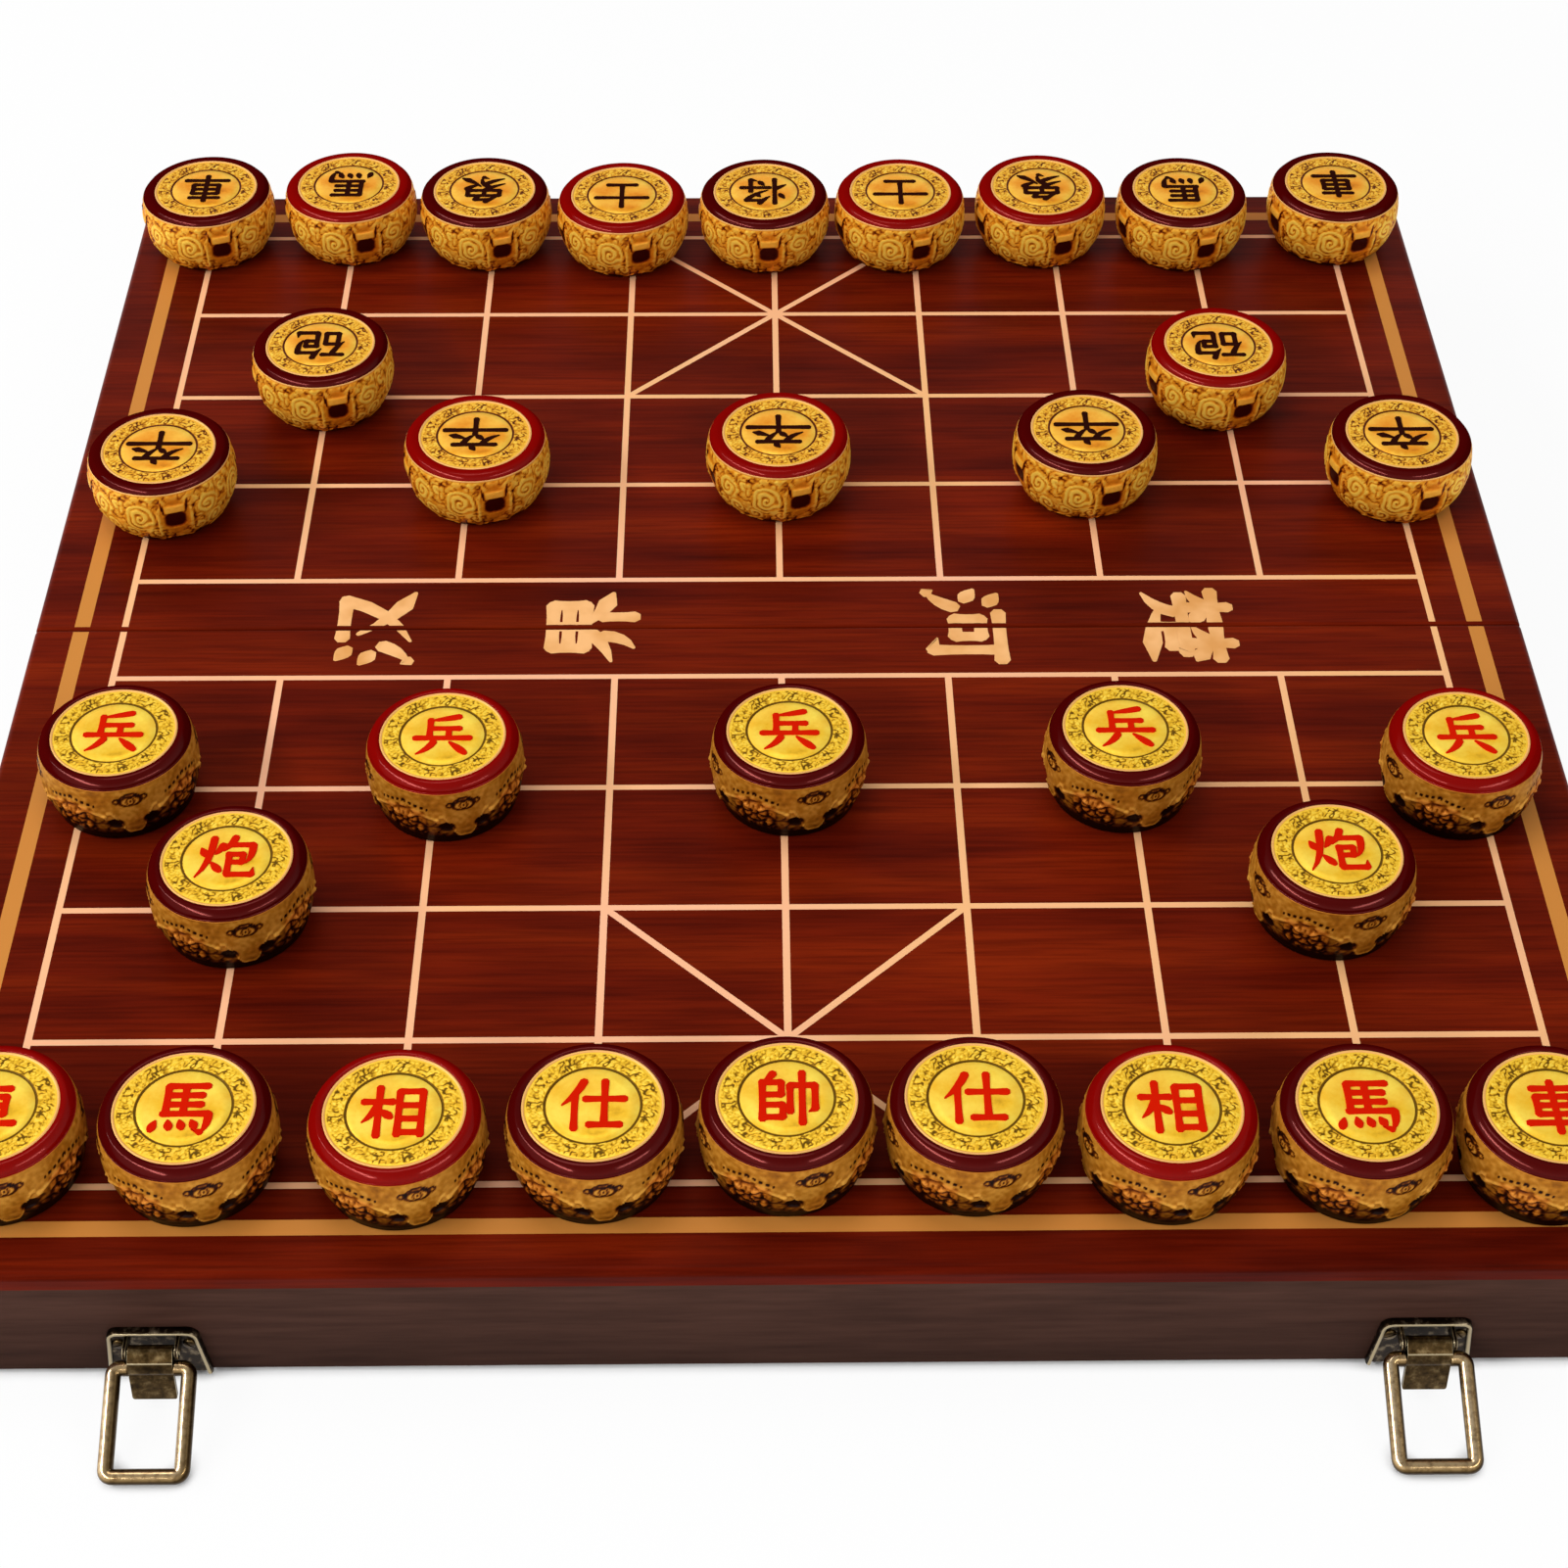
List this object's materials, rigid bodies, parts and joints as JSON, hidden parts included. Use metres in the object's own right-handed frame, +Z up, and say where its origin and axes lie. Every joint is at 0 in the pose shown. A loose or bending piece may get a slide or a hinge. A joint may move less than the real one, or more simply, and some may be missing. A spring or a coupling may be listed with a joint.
{
  "type": "folding board game case",
  "caption": "Hinged wooden case that opens flat into a gilt-lined river-and-palace board, with draw latches on its front wall and round drum-shaped men standing on it.",
  "frame": {"origin": "centre of the bounding box's footprint, at its lowest level, where the hinge knuckles touch the table", "axes": "+X to the right along the fold, +Y away from the latches towards the far half, +Z up out of the board"},
  "size_m": [0.4546, 0.519, 0.066],
  "materials": {
    "lacquered_wood": "satin lacquer",
    "wall_wood": "matte stain",
    "gilt_inlay": "satin gilt",
    "felt": "soft pile",
    "latch_brass": "aged brass",
    "hinge_brass": "aged brass",
    "screw_brass": "aged brass",
    "red_men": "gilt resin, red ring",
    "black_men": "gilt resin, dark ring"
  },
  "bodies": {
    "far_half": {"far_board_panel": "lacquered_wood", "far_board_lines": "gilt_inlay", "far_back_rail": "wall_wood", "far_seam_rail": "wall_wood", "far_left_rail": "wall_wood", "far_right_rail": "wall_wood", "far_felt_lining": "felt", "latch_catches": "latch_brass", "catch_screws": "screw_brass", "far_hinge_leaves": "hinge_brass", "hinge_pins": "screw_brass"},
    "near_half": {"near_board_panel": "lacquered_wood", "near_board_lines": "gilt_inlay", "near_front_rail": "wall_wood", "near_seam_rail": "wall_wood", "near_left_rail": "wall_wood", "near_right_rail": "wall_wood", "near_felt_lining": "felt", "latch_plates": "latch_brass", "latch_pins": "screw_brass", "latch_screws": "screw_brass", "near_hinge_leaves": "hinge_brass"},
    "lever_left": {"latch_lever_left": "latch_brass"},
    "lever_right": {"latch_lever_right": "latch_brass"},
    "bail_left": {"latch_bail_left": "latch_brass"},
    "bail_right": {"latch_bail_right": "latch_brass"},
    "red_chariot_left": {"red_chariot_left": "red_men"},
    "red_horse_left": {"red_horse_left": "red_men"},
    "red_elephant_left": {"red_elephant_left": "red_men"},
    "red_advisor_left": {"red_advisor_left": "red_men"},
    "red_general": {"red_general": "red_men"},
    "red_advisor_right": {"red_advisor_right": "red_men"},
    "red_elephant_right": {"red_elephant_right": "red_men"},
    "red_horse_right": {"red_horse_right": "red_men"},
    "red_chariot_right": {"red_chariot_right": "red_men"},
    "red_cannon_left": {"red_cannon_left": "red_men"},
    "red_cannon_right": {"red_cannon_right": "red_men"},
    "red_soldier_1": {"red_soldier_1": "red_men"},
    "red_soldier_2": {"red_soldier_2": "red_men"},
    "red_soldier_3": {"red_soldier_3": "red_men"},
    "red_soldier_4": {"red_soldier_4": "red_men"},
    "red_soldier_5": {"red_soldier_5": "red_men"},
    "black_chariot_left": {"black_chariot_left": "black_men"},
    "black_horse_left": {"black_horse_left": "black_men"},
    "black_elephant_left": {"black_elephant_left": "black_men"},
    "black_advisor_left": {"black_advisor_left": "black_men"},
    "black_general": {"black_general": "black_men"},
    "black_advisor_right": {"black_advisor_right": "black_men"},
    "black_elephant_right": {"black_elephant_right": "black_men"},
    "black_horse_right": {"black_horse_right": "black_men"},
    "black_chariot_right": {"black_chariot_right": "black_men"},
    "black_cannon_left": {"black_cannon_left": "black_men"},
    "black_cannon_right": {"black_cannon_right": "black_men"},
    "black_soldier_1": {"black_soldier_1": "black_men"},
    "black_soldier_2": {"black_soldier_2": "black_men"},
    "black_soldier_3": {"black_soldier_3": "black_men"},
    "black_soldier_4": {"black_soldier_4": "black_men"},
    "black_soldier_5": {"black_soldier_5": "black_men"}
  },
  "joints": [
    {"name": "fold", "type": "hinge", "parent": "far_half", "child": "near_half", "pos_m": [0, 0.01283, 0.00175], "axis": [1, 0, 0], "range_deg": [0, 180]},
    {"name": "latch_lever_left", "type": "hinge", "parent": "near_half", "child": "lever_left", "pos_m": [-0.16, -0.23042, 0.0159], "axis": [-1, 0, 0], "range_deg": [0, 148]},
    {"name": "latch_lever_right", "type": "hinge", "parent": "near_half", "child": "lever_right", "pos_m": [0.16, -0.23042, 0.0159], "axis": [-1, 0, 0], "range_deg": [0, 148]},
    {"name": "bail_left", "type": "hinge", "parent": "lever_left", "child": "bail_left", "pos_m": [-0.16, -0.23283, 0.01246], "axis": [-1, 0, 0], "range_deg": [-215.28, 0]},
    {"name": "bail_right", "type": "hinge", "parent": "lever_right", "child": "bail_right", "pos_m": [0.16, -0.23283, 0.01246], "axis": [-1, 0, 0], "range_deg": [-215.28, 0]},
    {"name": "lift_red_chariot_left", "type": "slide", "parent": "near_half", "child": "red_chariot_left", "axis": [0, 0, 1], "range_m": [0, 0.06]},
    {"name": "lift_red_horse_left", "type": "slide", "parent": "near_half", "child": "red_horse_left", "axis": [0, 0, 1], "range_m": [0, 0.06]},
    {"name": "lift_red_elephant_left", "type": "slide", "parent": "near_half", "child": "red_elephant_left", "axis": [0, 0, 1], "range_m": [0, 0.06]},
    {"name": "lift_red_advisor_left", "type": "slide", "parent": "near_half", "child": "red_advisor_left", "axis": [0, 0, 1], "range_m": [0, 0.06]},
    {"name": "lift_red_general", "type": "slide", "parent": "near_half", "child": "red_general", "axis": [0, 0, 1], "range_m": [0, 0.06]},
    {"name": "lift_red_advisor_right", "type": "slide", "parent": "near_half", "child": "red_advisor_right", "axis": [0, 0, 1], "range_m": [0, 0.06]},
    {"name": "lift_red_elephant_right", "type": "slide", "parent": "near_half", "child": "red_elephant_right", "axis": [0, 0, 1], "range_m": [0, 0.06]},
    {"name": "lift_red_horse_right", "type": "slide", "parent": "near_half", "child": "red_horse_right", "axis": [0, 0, 1], "range_m": [0, 0.06]},
    {"name": "lift_red_chariot_right", "type": "slide", "parent": "near_half", "child": "red_chariot_right", "axis": [0, 0, 1], "range_m": [0, 0.06]},
    {"name": "lift_red_cannon_left", "type": "slide", "parent": "near_half", "child": "red_cannon_left", "axis": [0, 0, 1], "range_m": [0, 0.06]},
    {"name": "lift_red_cannon_right", "type": "slide", "parent": "near_half", "child": "red_cannon_right", "axis": [0, 0, 1], "range_m": [0, 0.06]},
    {"name": "lift_red_soldier_1", "type": "slide", "parent": "near_half", "child": "red_soldier_1", "axis": [0, 0, 1], "range_m": [0, 0.06]},
    {"name": "lift_red_soldier_2", "type": "slide", "parent": "near_half", "child": "red_soldier_2", "axis": [0, 0, 1], "range_m": [0, 0.06]},
    {"name": "lift_red_soldier_3", "type": "slide", "parent": "near_half", "child": "red_soldier_3", "axis": [0, 0, 1], "range_m": [0, 0.06]},
    {"name": "lift_red_soldier_4", "type": "slide", "parent": "near_half", "child": "red_soldier_4", "axis": [0, 0, 1], "range_m": [0, 0.06]},
    {"name": "lift_red_soldier_5", "type": "slide", "parent": "near_half", "child": "red_soldier_5", "axis": [0, 0, 1], "range_m": [0, 0.06]},
    {"name": "lift_black_chariot_left", "type": "slide", "parent": "far_half", "child": "black_chariot_left", "axis": [0, 0, 1], "range_m": [0, 0.06]},
    {"name": "lift_black_horse_left", "type": "slide", "parent": "far_half", "child": "black_horse_left", "axis": [0, 0, 1], "range_m": [0, 0.06]},
    {"name": "lift_black_elephant_left", "type": "slide", "parent": "far_half", "child": "black_elephant_left", "axis": [0, 0, 1], "range_m": [0, 0.06]},
    {"name": "lift_black_advisor_left", "type": "slide", "parent": "far_half", "child": "black_advisor_left", "axis": [0, 0, 1], "range_m": [0, 0.06]},
    {"name": "lift_black_general", "type": "slide", "parent": "far_half", "child": "black_general", "axis": [0, 0, 1], "range_m": [0, 0.06]},
    {"name": "lift_black_advisor_right", "type": "slide", "parent": "far_half", "child": "black_advisor_right", "axis": [0, 0, 1], "range_m": [0, 0.06]},
    {"name": "lift_black_elephant_right", "type": "slide", "parent": "far_half", "child": "black_elephant_right", "axis": [0, 0, 1], "range_m": [0, 0.06]},
    {"name": "lift_black_horse_right", "type": "slide", "parent": "far_half", "child": "black_horse_right", "axis": [0, 0, 1], "range_m": [0, 0.06]},
    {"name": "lift_black_chariot_right", "type": "slide", "parent": "far_half", "child": "black_chariot_right", "axis": [0, 0, 1], "range_m": [0, 0.06]},
    {"name": "lift_black_cannon_left", "type": "slide", "parent": "far_half", "child": "black_cannon_left", "axis": [0, 0, 1], "range_m": [0, 0.06]},
    {"name": "lift_black_cannon_right", "type": "slide", "parent": "far_half", "child": "black_cannon_right", "axis": [0, 0, 1], "range_m": [0, 0.06]},
    {"name": "lift_black_soldier_1", "type": "slide", "parent": "far_half", "child": "black_soldier_1", "axis": [0, 0, 1], "range_m": [0, 0.06]},
    {"name": "lift_black_soldier_2", "type": "slide", "parent": "far_half", "child": "black_soldier_2", "axis": [0, 0, 1], "range_m": [0, 0.06]},
    {"name": "lift_black_soldier_3", "type": "slide", "parent": "far_half", "child": "black_soldier_3", "axis": [0, 0, 1], "range_m": [0, 0.06]},
    {"name": "lift_black_soldier_4", "type": "slide", "parent": "far_half", "child": "black_soldier_4", "axis": [0, 0, 1], "range_m": [0, 0.06]},
    {"name": "lift_black_soldier_5", "type": "slide", "parent": "far_half", "child": "black_soldier_5", "axis": [0, 0, 1], "range_m": [0, 0.06]}
  ],
  "couplings": [
    {"joint": "bail_left", "follows": "latch_lever_left", "ratio": -1.4546},
    {"joint": "bail_right", "follows": "latch_lever_right", "ratio": -1.4546}
  ]
}
